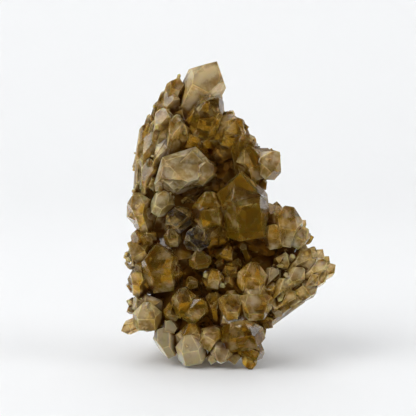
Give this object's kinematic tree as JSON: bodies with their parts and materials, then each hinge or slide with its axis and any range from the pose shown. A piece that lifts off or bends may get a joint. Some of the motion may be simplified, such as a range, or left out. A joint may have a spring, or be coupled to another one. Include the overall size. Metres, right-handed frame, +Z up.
{
  "type": "quartz crystal cluster",
  "caption": "Free-standing cluster of pointed, translucent smoky crystals that grow in every direction from one broken mass; it rests upright on its flat feet.",
  "frame": {"origin": "on the surface that the cluster stands on, under the middle of its bounding box", "axes": "+Z up along the cluster's height, -Y towards the front that the large crystals face, +X to the right as seen from the front, where the low wing reaches out"},
  "size_m": [0.0766, 0.0484, 0.1076],
  "materials": {
    "smoky_quartz": "clear to milky smoky brown crystal, glossy natural faces with fine growth lines, golden where light comes through thin parts"
  },
  "bodies": {
    "root": {"quartz_cluster": "smoky_quartz"}
  },
  "joints": []
}
